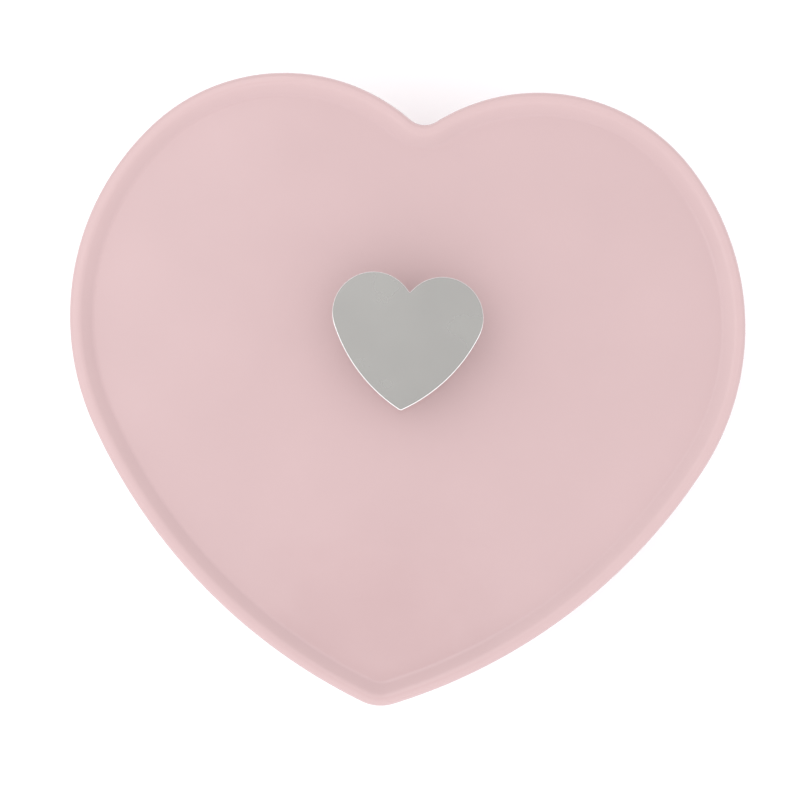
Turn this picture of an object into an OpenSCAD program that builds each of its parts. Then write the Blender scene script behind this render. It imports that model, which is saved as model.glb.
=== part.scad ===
// Heart-shaped wind-up music box with a lift-off lid, in millimetres.
// The table is z = 0, the heart's tip points to -Y and its lobes to +Y.

/* [Heart outline] */
// Width of the lid across its lobes
heart_w = 150; // [140:1:162]
// Length of the lid from its tip to the tops of its lobes
heart_d = 138.5; // [130:0.5:150]
// Outline radius over the top of each lobe
lobe_r = 42.7; // [39:0.1:45]
// Outline radius round each shoulder
shoulder_r = 58.3; // [54:0.1:62]
// Direction where the lobe arc runs into the shoulder arc, in degrees
shoulder_ang = 41.7; // [35:0.1:50]
// Direction below +X where the shoulder arc runs into the flank arc, in degrees
flank_ang = 28.8; // [22:0.1:34]
// Outline radius round the tip
tip_r = 9.3; // [9.2:0.1:11]
// Fillet radius in the cleft between the lobes
cleft_r = 5; // [4:0.5:8]

/* [Lid] */
// Height of the rim's crest above the lid's underside
lid_h = 8; // [7:0.5:10]
// Height of the rim's crest above the flat panel
rim_rise = 2.5; // [2:0.1:3.5]
// Width of the raised rim, from the edge to the flat panel
rim_w = 5.6; // [5:0.1:6.5]
// Radius of the rim's rounded crest
crest_r = 2; // [1.6:0.1:2.4]
// Thickness of the flat panel
panel_t = 4; // [3:0.5:4.5]
// Depth of the locating rib below the lid's underside
rib_h = 4; // [3:0.5:5]
// Thickness of the locating rib
rib_t = 2.1; // [1.8:0.1:2.4]
// Clearance between the locating rib and the box wall
rib_gap = 0.5; // [0.3:0.1:0.8]

/* [Knob] */
// Width of the heart knob
knob_w = 32.8; // [28:0.2:38]
// Length of the heart knob
knob_d = 29.5; // [25:0.5:34]
// Outline radius of the knob's lobes
knob_lobe_r = 8.9; // [8:0.1:10]
// Thickness of the knob's plate
knob_t = 6; // [4:0.5:8]
// Width of the bevel round the knob's edges
knob_bevel = 0.5; // [0.3:0.1:0.6]
// Distance from the lid's middle to the knob, towards the lobes
knob_y = 10.5; // [5:0.5:16]
// Radius of the post that carries the knob
stem_r = 5.5; // [5:0.5:7]
// Height of the post between the panel and the knob
stem_h = 8.5; // [6:0.5:12]
// Radius of the knob's screw
knob_screw_r = 2; // [1.5:0.1:2.5]

/* [Box] */
// Height of the box wall's top above the table
box_h = 52; // [50:0.5:60]
// Thickness of the box wall
wall_t = 4; // [3.5:0.1:4.3]
// Overhang of the lid beyond the box wall
overhang = 2; // [1.5:0.1:2.2]
// Height of the floor's underside above the table
recess_h = 15; // [14:0.5:18]
// Thickness of the floor
floor_t = 4; // [3.5:0.5:5]
// Gap between the foot ring and the table
foot_gap = 1.5; // [1:0.1:2]
// Radius of each rubber foot
foot_r = 4; // [3.5:0.1:4.2]
// Thickness of each rubber foot
foot_t = 3; // [2.5:0.1:4]
// Thickness of the soft tray pad
pad_t = 2; // [1.5:0.1:3]

/* [Movement] */
// Position of the winding axis from the box's middle, along X
wind_x = 16; // [12:0.5:20]
// Position of the winding axis from the box's middle, along Y
wind_y = 8; // [4:0.5:12]
// Module of every gear in the train
gear_m = 0.5; // [0.48:0.01:0.52]
// Number of tuned teeth on the comb
notes = 18; // [12:1:18]
// Spacing of the comb's teeth
note_pitch = 1.05; // [1:0.01:1.15]
// Radius of the pinned drum
drum_r = 6.5; // [6:0.1:6.7]
// Height of the drum's pins
pin_h = 0.8; // [0.6:0.1:1]
// Radius of the drum's pins
pin_r = 0.22; // [0.18:0.01:0.26]
// Rows of pins that the drum has for each note
pins_per_note = 4; // [2:1:6]
// Radius of the spring housing
housing_r = 13.9; // [13:0.1:14]
// Height of the spring housing
housing_h = 10; // [9:0.5:12]
// Radius of the winding arbor
arbor_r = 2.2; // [2:0.1:2.5]
// Thickness of the bedplate
bed_t = 2.5; // [2:0.1:3.5]
// Radius of the air brake's blades
brake_r = 4.6; // [4:0.1:4.8]

/* [Key] */
// Width across the key's wings
key_w = 24; // [20:0.5:28]
// Height of the key's wings
key_h = 8; // [7:0.5:9]
// Thickness of the key's wings
key_t = 2.2; // [1.8:0.1:3]

/* [Cover] */
// Wall thickness of the clear cover
cover_t = 1.5; // [1.2:0.1:2]
// Clearance between the movement and the cover's walls
cover_gap = 3; // [2:0.5:4]
// Travel of the stop plunger when the lid is lifted
plunger_travel = 3; // [2:0.5:3.5]

/* [Hidden] */
$fn = 96;
slit = 0.05;          // running clearance of a shaft in its bore
fit = 0.03;           // clearance of a piece fixed on its shaft
air = 0.2;            // gap between faces that pass or nearly meet
cut = 1;              // run of a cutter past the face it cuts
lap = 0.5;            // lap of one solid into another that it joins
sweep_lap = 0.6;      // lap of an infill plate into a swept edge
chamfer = 0.6;        // small chamfer along a lip
sweep_in = 12;        // room for a swept profile inside an outline
sweep_out = 3;        // room for a swept profile outside an outline
sweep_top = 100;      // room for a swept profile above the table
crease_ang = 62;      // where the rim's slope leaves its rounded crest
lid_z = box_h;
panel_z = lid_z + lid_h - rim_rise;
panel_under = panel_z - panel_t;
wall_in = overhang + wall_t;
rib_in = wall_in + rib_gap;
lid_sweep = rib_in + rib_t;
floor_z = recess_h + floor_t;
cove_r = 2.4;
cove_in = wall_in + cove_r;
boss_r = foot_r + 1.5;
foot_in = boss_r + 4.5;
pressure = 20;        // pressure angle of the gear teeth

// gear train
crown_n = 52;
drum_n = 13;
great_n = 30;
gov_n = 8;
wheel_n = 20;
tooth_add = 0.8 * gear_m;
tooth_ded = 1.2 * gear_m;
tooth_share = 0.4;
tooth_root = 0.3;     // how far a tooth is set into the body that carries it
rack_share = 0.36;
tooth_p = PI * gear_m;
crown_r = crown_n * gear_m / 2;
drum_pr = drum_n * gear_m / 2;
great_pr = great_n * gear_m / 2;
gov_pr = gov_n * gear_m / 2;
wheel_pr = wheel_n * gear_m / 2;
worm_pr = 1.9;
crown_face = 2;
crown_t = 1.4;
crown_z = bed_t + housing_h + 0.5;
axis_z = crown_z + crown_t + tooth_ded + drum_pr;
pinion_t = 1.6;
plate_t = 1;
shaft_r = 1;
drum_x1 = -(max(crown_r + crown_face / 2, housing_r) + 0.6 + plate_t + 0.4);
bracket_x = drum_x1 + 0.4;
drum_len = notes * note_pitch + 1.1;
drum_x0 = drum_x1 - drum_len;
great_t = 1.2;
great_x = drum_x0 - 0.4 - great_t;
inner_x = great_x - 0.4 - plate_t;
wheel_t = 1.4;
worm_room = worm_pr + tooth_add + 0.4;
wheel_x = inner_x - worm_room - wheel_t / 2;
outer_x = inner_x - 2 * worm_room - plate_t;
gov_dist = great_pr + gov_pr;
gov_ang = -36.87;
gov_y = gov_dist * cos(gov_ang);
gov_z = axis_z + gov_dist * sin(gov_ang);
gov_shaft_r = 0.8;
fan_x = wheel_x + wheel_t / 2;
fan_y = gov_y + wheel_pr + worm_pr;
fan_shaft_r = 0.8;
worm_turns = 4;
worm_root = 0.25;
worm_half = worm_turns / 2 * tooth_p + 0.7;
cock_z = gov_z + worm_half + 0.25;
cock_t = 0.9;
cock_y0 = fan_y - 2.3;
cock_y1 = fan_y + 3;
frame_y0 = -4;
brake_z = cock_z + cock_t + 0.5;
brake_h = 4.4;
disc_t = 0.6;
disc_top = brake_z + brake_h + disc_t;
bed_x0 = outer_x - 1;
bed_x1 = max(housing_r, crown_r + crown_face / 2) + 1.1;
bed_y0 = -22;
bed_r = 3;
boss = 3.1;
bracket_foot = 6;
bed_y1 = fan_y + 4.5;

// comb
comb_t = 1;
comb_tip = drum_r + pin_h + air;
comb_len = 9;
comb_base = 5.2;
comb_x = (drum_x0 + drum_x1) / 2;
comb_root = -(comb_tip + comb_len);
comb_back = comb_root - comb_base;
comb_screw_x = 6;
comb_screw_l = 6;
comb_screw_at = [for (s = [-1, 1]) [comb_x + s * comb_screw_x, comb_root - comb_base / 2 - 0.2]];
post_gap = 0.4;
slot_w = 0.25;
tooth_step = 0.05;    // each tooth is this much shorter than the one before

// stop plunger and cover
pad_gap = 0.6;
cover_r = 3;
pad_foot_t = 1;
pad_foot_r = 2.4;
pad_seat = 0.4;
plunger_r = 1.2;
plunger_foot = disc_top + air + pad_foot_t;
train_top = axis_z + max(drum_r + pin_h, great_pr + tooth_add);
cover_under = max(plunger_foot + plunger_travel, train_top) + 0.4;
cover_top = cover_under + cover_t;
plunger_top = panel_under - floor_z - air;
plunger_cap = 1;
cover_x0 = bed_x0 - cover_gap - cover_t;
cover_x1 = bed_x1 + 1 + cover_t;
cover_y0 = bed_y0 - 1 - cover_t;
cover_y1 = bed_y1 + 1 + cover_t;
tab_l = 6;
tab_w = 8;
tab_t = 1.6;
spring_wire = 0.3;
spring_r = 2;
spring_turns = 4;

// screws
screw_r = 1.4;
head_r = 2.6;
head_t = 1.6;
slot_t = 0.6;
slot_deep = 0.7;
small_r = 1;
small_head_r = 2.2;
tap_deep = 2.5;
gov_screw_y = [0, 8.5];
bed_screws = [[bed_x0 + 4, bed_y0 + 4.5], [8, bed_y0 + 4.5], [-12, bed_y1 - 4]];
gov_base_t = 1.6;

// ---------- heart outline ----------

function u(a) = [cos(a), sin(a)];

// The arcs of a heart outline from its tip round to its tip, anticlockwise.
// Each is [centre, radius, start angle, end angle, 1 for a bulge or -1 for the cleft].
function heart(w, d, r1, r2, a1, a2, rt, rc) =
  let (l = [w / 2 - r2 + (r2 - r1) * cos(a1), d / 2 - r1])
  let (m = l - (r2 - r1) * u(a1))
  let (t = [0, rt - d / 2])
  let (g = m - t)
  let (k = r2 - rt)
  let (e = (g * g - k * k) / (2 * (g * u(-a2) + k)))
  let (s = m - e * u(-a2))
  let (c = [0, l.y + sqrt(pow(r1 + rc, 2) - l.x * l.x)])
  let (at = atan2(t.y - s.y, t.x - s.x))
  let (ac = atan2(c.y - l.y, c.x - l.x))
  let (side = [[s, r2 + e, at, -a2, 1], [m, r2, -a2, a1, 1], [l, r1, a1, ac, 1]])
  concat(
    [[t, rt, -180 - at, at, 1]],
    side,
    [[c, rc, -ac, ac - 180, -1]],
    [for (i = [2:-1:0]) flip(side[i])]
  );

function flip(a) = [[-a[0].x, a[0].y], a[1], 180 - a[3], 180 - a[2], a[4]];
function arc_r(a, inset) = max(a[1] - a[4] * inset, 0.1);
function arc_from(a, inset) = a[0] + arc_r(a, inset) * u(a[4] > 0 ? a[2] : a[3]);
function arc_to(a, inset) = a[0] + arc_r(a, inset) * u(a[4] > 0 ? a[3] : a[2]);

lid_arcs = heart(heart_w, heart_d, lobe_r, shoulder_r, shoulder_ang, flank_ang, tip_r, cleft_r);
knob_ring = knob_bevel + 0.2;
knob_arcs = heart(knob_w, knob_d, knob_lobe_r, knob_lobe_r, 40, 23, knob_ring, 0.8);

// The same outline with a rounder tip between the same two flanks.
function rounder_tip(arcs, r) =
  let (side = arcs[1])
  let (s = side[0])
  let (t = [0, s.y - sqrt(pow(side[1] - r, 2) - s.x * s.x)])
  let (at = atan2(t.y - s.y, t.x - s.x))
  let (flank = [s, side[1], at, side[3], 1])
  concat([[t, r, -180 - at, at, 1], flank], [for (i = [2:len(arcs) - 2]) arcs[i]], [flip(flank)]);

// The sliver between one arc of an outline and its chord.
module bulge(a, inset) {
  r = arc_r(a, inset);
  p = arc_from(a, inset);
  q = arc_to(a, inset);
  out = r * u((a[2] + a[3]) / 2);
  intersection() {
    translate(a[0]) circle(r);
    polygon([p, q, q + out, p + out]);
  }
}

// A filled heart, inset from its outline.
module heart_2d(arcs, inset) {
  difference() {
    union() {
      polygon([for (a = arcs) arc_from(a, inset)]);
      for (a = arcs) {
        if (a[4] > 0) bulge(a, inset);
      }
    }
    for (a = arcs) {
      if (a[4] < 0) bulge(a, inset);
    }
  }
}

// The points, inside and outside, that one arc of an outline shares with the next.
function joints(arcs) = [
  for (i = [0:len(arcs) - 1])
    let (a = arcs[i])
    let (b = arcs[(i + 1) % len(arcs)])
    let (p = arc_to(a, 0))
    let (n = a[4] * (p - a[0]) / a[1])
    let (deep = min([for (c = [a, b]) c[4] > 0 ? min(c[1], sweep_in) : sweep_in]))
    let (wide = min([for (c = [a, b]) c[4] < 0 ? min(c[1], sweep_out) : sweep_out]))
    [p - deep * n, p + wide * n]
];

// The wedge of the plan that holds one arc of an outline, between its two joints.
function wedge(a, s, e) =
  let (near = a[4] > 0 ? 0 : 1)
  let (far = 1 - near)
  let (from = a[4] > 0 ? a[2] : a[3])
  let (to = a[4] > 0 ? a[3] : a[2])
  let (r = 1.15 * (a[1] + (a[4] > 0 ? sweep_out : sweep_in)))
  concat(
    [s[near], s[far]],
    [for (k = [1:3]) a[0] + r * u(from + (to - from) * k / 4)],
    [e[far]],
    norm(e[near] - s[near]) > 0.01 ? [e[near]] : []
  );

// Two short moves in place of a long one, so that no digits are lost.
module move(v) {
  whole = [round(v.x), round(v.y), 0];
  translate(whole) translate([v.x, v.y, 0] - whole) children();
}

// Keeps a profile on its own side of the axis where the outline's radius is too small for it.
module clip_2d(needed) {
  if (needed) {
    intersection() {
      children();
      box_2d(0, 0, 4 * sweep_in, sweep_top);
    }
  } else {
    children();
  }
}

// A profile, drawn as distance inwards and height, carried round a heart outline.
module sweep_heart(arcs, deep) {
  j = joints(arcs);
  n = len(arcs);
  for (i = [0:n - 1]) {
    a = arcs[i];
    intersection() {
      move(a[0])
        rotate_extrude()
          clip_2d(a[4] > 0 && a[1] < deep)
            move([a[1], 0])
              mirror([a[4] > 0 ? 1 : 0, 0])
                children();
      linear_extrude(sweep_top) polygon(wedge(a, j[(i + n - 1) % n], j[i]));
    }
  }
}

module box_2d(x0, y0, x1, y1) {
  translate([x0, y0]) square([x1 - x0, y1 - y0]);
}

// A rectangle with rounded corners.
module pill_2d(x0, y0, x1, y1, r) {
  box_2d(x0 + r, y0, x1 - r, y1);
  box_2d(x0, y0 + r, x1, y1 - r);
  for (x = [x0 + r, x1 - r]) {
    for (y = [y0 + r, y1 - r]) {
      translate([x, y]) circle(r);
    }
  }
}

module rod(r, z0, z1) {
  translate([0, 0, z0]) cylinder(h = z1 - z0, r = r);
}

module rod_x(r, x0, x1) {
  translate([x0, 0, 0]) rotate([0, 90, 0]) cylinder(h = x1 - x0, r = r);
}

module at_movement() {
  translate([wind_x, wind_y, floor_z]) children();
}

module at_drum() {
  at_movement() translate([0, 0, axis_z]) children();
}

module at_governor() {
  at_movement() translate([0, gov_y, gov_z]) children();
}

module at_fan() {
  at_movement() translate([fan_x, fan_y, 0]) children();
}

// A flat shape in the plane of Y and Z, thick along X.
module slab_x(x0, t) {
  translate([x0, 0, 0]) rotate([90, 0, 90]) linear_extrude(t) children();
}

// ---------- gears ----------

function inv(a) = tan(a) * 180 / PI - a;
function half_tooth(r, rb, half) = half + inv(pressure) - inv(acos(min(1, rb / r)));

// Involute gear outline, its first tooth on +X.
module gear_2d(n) {
  rp = n * gear_m / 2;
  rb = rp * cos(pressure);
  half = tooth_share * 180 / n;
  foot = rp - tooth_ded;
  start = max(rb, foot);
  tip = rp + tooth_add;
  rs = [for (k = [0:3]) start + (tip - start) * k / 3];
  up = concat([[foot, half_tooth(start, rb, half)]], [for (r = rs) [r, half_tooth(r, rb, half)]]);
  polygon([
    for (i = [0:n - 1])
      for (s = [-1, 1])
        for (k = [0:4])
          let (p = up[s < 0 ? k : 4 - k])
          p[0] * u(i * 360 / n + s * p[1])
  ]);
}

// Section of one rack tooth: width across, height up, its pitch line at y = 0.
module rack_tooth_2d(low) {
  half = rack_share * tooth_p / 2;
  lean = tan(pressure);
  polygon([
    [-half - low * lean, -low],
    [half + low * lean, -low],
    [half - tooth_add * lean, tooth_add],
    [-half + tooth_add * lean, tooth_add]
  ]);
}

// A profile, drawn at its radius, wound upwards right-handed in tilted half turns.
module coil(r, pitch, turns) {
  tilt = asin(pitch / 4 / r);
  for (k = [0:2 * turns - 1]) {
    translate([0, 0, pitch * (k / 2 + 0.25)])
      rotate([0, k % 2 == 0 ? tilt : -tilt, 0])
        rotate_extrude(angle = 180, start = 180 * (k % 2))
          translate([r, 0])
            children();
  }
}

// ---------- lid ----------

module rim_profile() {
  crest = [crest_r, lid_z + lid_h - crest_r];
  foot = [0.9, 0.45];
  steps = 8;
  polygon(concat(
    [
      [chamfer, lid_z],
      [rib_in, lid_z],
      [rib_in, lid_z - rib_h + chamfer],
      [rib_in + chamfer, lid_z - rib_h],
      [lid_sweep, lid_z - rib_h],
      [lid_sweep, panel_z],
      [rim_w, panel_z],
      [rim_w - foot.x, panel_z + foot.y]
    ],
    [for (k = [0:steps]) crest + crest_r * u(crease_ang + (180 - crease_ang) * k / steps)],
    [[0, lid_z + chamfer]]
  ));
}

module lid_shell() {
  color("#dfbfc3") difference() {
    union() {
      sweep_heart(lid_arcs, lid_sweep) rim_profile();
      translate([0, 0, panel_under])
        linear_extrude(panel_t)
          heart_2d(lid_arcs, lid_sweep - sweep_lap);
    }
    translate([0, knob_y, 0]) rod(knob_screw_r + air, lid_z, panel_z + cut);
  }
}

knob_z0 = panel_z + stem_h;
knob_z1 = knob_z0 + knob_t;
knob_skin = 2;

module knob_heart() {
  color("#b4b5b2") translate([0, knob_y, 0]) difference() {
    union() {
      sweep_heart(knob_arcs, knob_ring)
        polygon([
          [0, knob_z0 + knob_bevel],
          [knob_bevel, knob_z0],
          [knob_ring, knob_z0],
          [knob_ring, knob_z1],
          [knob_bevel, knob_z1],
          [0, knob_z1 - knob_bevel]
        ]);
      translate([0, 0, knob_z0])
        linear_extrude(knob_t)
          heart_2d(knob_arcs, knob_ring / 2 + knob_bevel / 2);
    }
    rod(knob_screw_r + fit, knob_z0 - cut, knob_z1 - knob_skin);
  }
}

module knob_stem() {
  flare_r = stem_r + 1.5;
  color("#a9aaa8") translate([0, knob_y, 0]) rotate_extrude()
    difference() {
      box_2d(knob_screw_r + fit, panel_z, flare_r, knob_z0);
      translate([flare_r + stem_h / 4, (panel_z + knob_z0) / 2]) circle(stem_h / 2);
    }
}

washer_t = 0.8;

module knob_washer() {
  color("#3a3a3a") translate([0, knob_y, 0]) difference() {
    rod(knob_screw_r + 4, panel_under - washer_t, panel_under);
    rod(knob_screw_r + fit, panel_under - cut, panel_under + cut);
  }
}

module knob_screw() {
  screw_head_t = 2;
  slot = [4, 0.8, 1];
  head_z = panel_under - washer_t - screw_head_t;
  color("#c8c8c4") translate([0, knob_y, 0]) difference() {
    union() {
      rod(knob_screw_r, head_z + lap, knob_z1 - knob_skin - air);
      rod(knob_screw_r + 1.6, head_z, head_z + screw_head_t);
    }
    for (a = [0, 90]) {
      rotate(a) translate([-slot.x / 2, -slot.y / 2, head_z - slot.z]) cube([slot.x, slot.y, 2 * slot.z]);
    }
  }
}

// ---------- box ----------

feet = [
  lid_arcs[0][0],
  lid_arcs[2][0] + (shoulder_r - foot_in) * u(-12),
  lid_arcs[3][0] + (lobe_r - foot_in) * u(75),
  lid_arcs[5][0] + (lobe_r - foot_in) * u(105),
  lid_arcs[6][0] + (shoulder_r - foot_in) * u(192)
];

module corner_2d(x, y, dx, dy) {
  polygon([[x, y], [x + dx, y], [x, y + dy]]);
}

module wall_profile() {
  cove_gap = 0.15;
  difference() {
    union() {
      box_2d(overhang, foot_gap, wall_in, box_h);
      box_2d(wall_in - lap, recess_h, cove_in, floor_z + cove_r);
    }
    translate([cove_in, floor_z + cove_r + cove_gap]) circle(cove_r);
    corner_2d(overhang, foot_gap, 1.4, 2.4);
    corner_2d(overhang, box_h, chamfer, -chamfer);
    corner_2d(wall_in, box_h, -chamfer, -chamfer);
  }
}

module box_body() {
  color("#dcb9bd") difference() {
    union() {
      sweep_heart(lid_arcs, cove_in) wall_profile();
      translate([0, 0, recess_h])
        linear_extrude(floor_t)
          heart_2d(lid_arcs, cove_in - sweep_lap);
      for (p = feet) {
        translate(p) rod(boss_r, foot_gap, recess_h + lap);
      }
    }
    for (p = feet) {
      translate(p) rod(foot_r + fit, 0, foot_t);
    }
    at_movement() {
      rod(arbor_r + 1.5, -floor_t - cut, cut);
      for (p = bed_screws) {
        translate(p) rod(screw_r + air, -floor_t - cut, cut);
      }
    }
    for (p = cover_tabs) {
      translate(p) rod(small_r + slit, floor_z - tap_deep - lap, floor_z + cut);
    }
  }
}

module rubber_feet() {
  color("#2c2a2b") for (p = feet) {
    translate(p) rod(foot_r, 0, foot_t);
  }
}

cover_a = [wind_x + cover_x0, wind_y + cover_y0];
cover_b = [wind_x + cover_x1, wind_y + cover_y1];
cover_tabs = [
  [cover_a.x - tab_l / 2, (cover_a.y + cover_b.y) / 2],
  [cover_b.x + tab_l / 2, (cover_a.y + cover_b.y) / 2]
];

module cover_tabs_2d(grow) {
  half_w = tab_w / 2 + grow;
  mid = cover_tabs[0].y;
  box_2d(cover_a.x - tab_l - grow, mid - half_w, cover_b.x + tab_l + grow, mid + half_w);
}

module cover_foot_2d(grow) {
  pill_2d(cover_a.x - grow, cover_a.y - grow, cover_b.x + grow, cover_b.y + grow, cover_r + grow);
  cover_tabs_2d(grow);
}

module tray_pad() {
  edge = cove_in + 0.3;
  hem = 2;
  arcs = rounder_tip(lid_arcs, max(tip_r, edge + hem + 0.5));
  color("#efe3dc") difference() {
    union() {
      sweep_heart(arcs, edge + hem)
        box_2d(edge, floor_z, edge + hem, floor_z + pad_t);
      translate([0, 0, floor_z])
        linear_extrude(pad_t)
          heart_2d(arcs, edge + hem - sweep_lap);
    }
    translate([0, 0, floor_z - cut])
      linear_extrude(pad_t + 2 * cut)
        cover_foot_2d(pad_gap);
  }
}

module movement_cover() {
  color("#cfdde2", 0.35) difference() {
    union() {
      translate([0, 0, floor_z])
        linear_extrude(cover_top)
          pill_2d(cover_a.x, cover_a.y, cover_b.x, cover_b.y, cover_r);
      translate([0, 0, floor_z])
        linear_extrude(tab_t)
          cover_tabs_2d(0);
    }
    translate([0, 0, floor_z - cut])
      linear_extrude(cover_under + cut)
        pill_2d(
          cover_a.x + cover_t, cover_a.y + cover_t,
          cover_b.x - cover_t, cover_b.y - cover_t, cover_r - cover_t
        );
    for (p = cover_tabs) {
      translate(p) rod(small_r + air, floor_z - cut, floor_z + tab_t + cut);
    }
    at_fan() rod(plunger_r + slit, cover_under - cut, cover_top + cut);
  }
}

// A pan-head screw with a cross slot, its shank down from the head's seat.
module pan_screw(shank_r, shank, head) {
  slot_l = 1.2 * head;
  difference() {
    union() {
      rod(shank_r, -shank, lap);
      rod(head, 0, head_t);
    }
    for (a = [0, 90]) {
      rotate(a)
        translate([-slot_l / 2, -slot_t / 2, head_t - slot_deep])
          cube([slot_l, slot_t, slot_deep + cut]);
    }
  }
}

module cover_screws() {
  color("#c9b27a") for (p = cover_tabs) {
    translate([p.x, p.y, floor_z + tab_t]) pan_screw(small_r, tab_t + tap_deep, small_head_r);
  }
}

module movement_screws() {
  color("#c8c8c4") at_movement() for (p = bed_screws) {
    translate([p.x, p.y, -floor_t]) rotate([180, 0, 0]) pan_screw(screw_r, floor_t + bed_t - lap, head_r);
  }
}

// ---------- movement ----------

// A tapering bracket under a round boss at the drum's axis, its foot from y0 to y1 at height z.
module bracket_2d(y0, y1, z) {
  polygon([[y0, z], [y1, z], [boss, axis_z], [-boss, axis_z]]);
  translate([0, axis_z]) circle(boss);
}

module bedplate() {
  post_rim = 0.6;
  post_x0 = comb_x - notes * note_pitch / 2 - post_rim;
  post_x1 = comb_x + notes * note_pitch / 2 + post_rim;
  post_top = axis_z - comb_t / 2;
  color("#b7b5ae") at_movement() difference() {
    union() {
      linear_extrude(bed_t) pill_2d(bed_x0, bed_y0, bed_x1, bed_y1, bed_r);
      translate([0, 0, bed_t - lap])
        linear_extrude(post_top - bed_t + lap)
          box_2d(post_x0, comb_back, post_x1, comb_root - post_gap);
      slab_x(bracket_x, plate_t) bracket_2d(-bracket_foot, bracket_foot, bed_t - lap);
    }
    translate([0, 0, axis_z]) rod_x(shaft_r + slit, bracket_x - cut, bracket_x + plate_t + cut);
    rod(arbor_r + slit, -cut, bed_t + cut);
    for (p = bed_screws) {
      translate(p) rod(screw_r + fit, -cut, bed_t + cut);
    }
    for (p = comb_screw_at) {
      translate(p) rod(small_r + slit, post_top - comb_screw_l, post_top + cut);
    }
    for (y = gov_screw_y) {
      translate([fan_x, y, 0]) rod(small_r + slit, -cut, bed_t + cut);
    }
    translate([fan_x, fan_y, 0]) rod(fan_shaft_r + pad_gap, -cut, bed_t + cut);
  }
}

module comb() {
  width = notes * note_pitch;
  color("#9aa0a4") at_movement() difference() {
    translate([comb_x - width / 2, comb_back, axis_z - comb_t / 2])
      cube([width, comb_len + comb_base, comb_t]);
    for (i = [1:notes - 1]) {
      x = comb_x - width / 2 + i * note_pitch - slot_w / 2;
      translate([x, comb_root + tooth_step * i, axis_z - comb_t]) cube([slot_w, comb_len + cut, 2 * comb_t]);
    }
    for (p = comb_screw_at) {
      translate(p) rod(small_r + air, axis_z - comb_t, axis_z + comb_t);
    }
  }
}

module comb_weights() {
  heavy = floor(notes / 2);
  back = 5;
  first = [note_pitch - slot_w - 2 * slit, 2.6, 2.4];
  color("#6d7074") at_movement() for (i = [0:heavy - 1]) {
    size = first - i / heavy * [0, 0.9, 1.8];
    x = comb_x + (i + 0.5 - notes / 2) * note_pitch - size.x / 2;
    translate([x, -comb_tip - back, axis_z - comb_t / 2 - size.z]) cube(size);
  }
}

module comb_screws() {
  color("#c9b27a") at_movement() for (p = comb_screw_at) {
    translate([p.x, p.y, axis_z + comb_t / 2]) pan_screw(small_r, comb_screw_l - lap, small_head_r);
  }
}

housing_wall = 0.8;

module spring_housing() {
  color("#c4a55a") at_movement() rotate_extrude()
    difference() {
      box_2d(arbor_r + slit, bed_t, housing_r, bed_t + housing_h);
      box_2d(0, bed_t - cut, housing_r - housing_wall, bed_t + housing_h - housing_wall);
    }
}

// Flat spiral strip in half turns about two centres, its outer end on the housing wall.
module mainspring() {
  strip = 0.35;
  pitch = 1.8;
  turns = 4;
  outer = housing_r - housing_wall - strip / 2;
  lift = 1;
  color("#8a9096") at_movement() translate([0, 0, bed_t + lift])
    for (k = [0:2 * turns - 1]) {
      r = outer - k * pitch / 2;
      translate([k % 2 == 0 ? 0 : pitch / 2, 0, 0])
        rotate_extrude(angle = 180, start = 180 * (k % 2))
          box_2d(r - strip / 2, 0, r + strip / 2, housing_h - housing_wall - 2 * lift);
    }
}

// Side plate of the governor, from y0 back to the cock that holds the fan's upper pivot.
module frame_plate_2d(y0) {
  shoulder = gov_z + 3;
  polygon([
    [y0, bed_t],
    [cock_y1, bed_t],
    [cock_y1, cock_z + cock_t],
    [cock_y0, cock_z + cock_t],
    [cock_y0 - 3.2, shoulder],
    [gov_y - 2, shoulder],
    [y0, bed_t + 5]
  ]);
}

module governor_frame() {
  color("#b9b4a6") at_movement() difference() {
    union() {
      slab_x(inner_x, plate_t) {
        frame_plate_2d(frame_y0);
        bracket_2d(frame_y0, bracket_foot, bed_t);
      }
      slab_x(outer_x, plate_t) frame_plate_2d(1);
      translate([0, 0, bed_t])
        linear_extrude(gov_base_t)
          box_2d(outer_x, frame_y0, inner_x + plate_t, cock_y1);
      translate([0, 0, cock_z])
        linear_extrude(cock_t)
          box_2d(outer_x, cock_y0, inner_x + plate_t, cock_y1);
    }
    translate([0, 0, axis_z]) rod_x(shaft_r + slit, inner_x - cut, inner_x + plate_t + cut);
    translate([0, gov_y, gov_z]) rod_x(gov_shaft_r + slit, outer_x - cut, inner_x + plate_t + cut);
    translate([fan_x, fan_y, 0]) rod(fan_shaft_r + slit, bed_t - cut, cock_z + cock_t + cut);
    for (y = gov_screw_y) {
      translate([fan_x, y, 0]) rod(small_r + air, bed_t - cut, bed_t + gov_base_t + cut);
    }
  }
}

module governor_screws() {
  color("#c9b27a") at_movement() for (y = gov_screw_y) {
    translate([fan_x, y, bed_t + gov_base_t])
      pan_screw(small_r, gov_base_t + bed_t - lap, small_head_r - slit);
  }
}

key_z0 = foot_gap + 1.6;
key_hub_top = key_z0 + key_h + 1.2;
arbor_z0 = key_z0 + 1.5;
crown_hub_t = 1.6;

module winding_arbor() {
  color("#c2bfb6") translate([wind_x, wind_y, 0])
    rod(arbor_r, arbor_z0, floor_z + crown_z + crown_t + crown_hub_t + chamfer);
}

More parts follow.
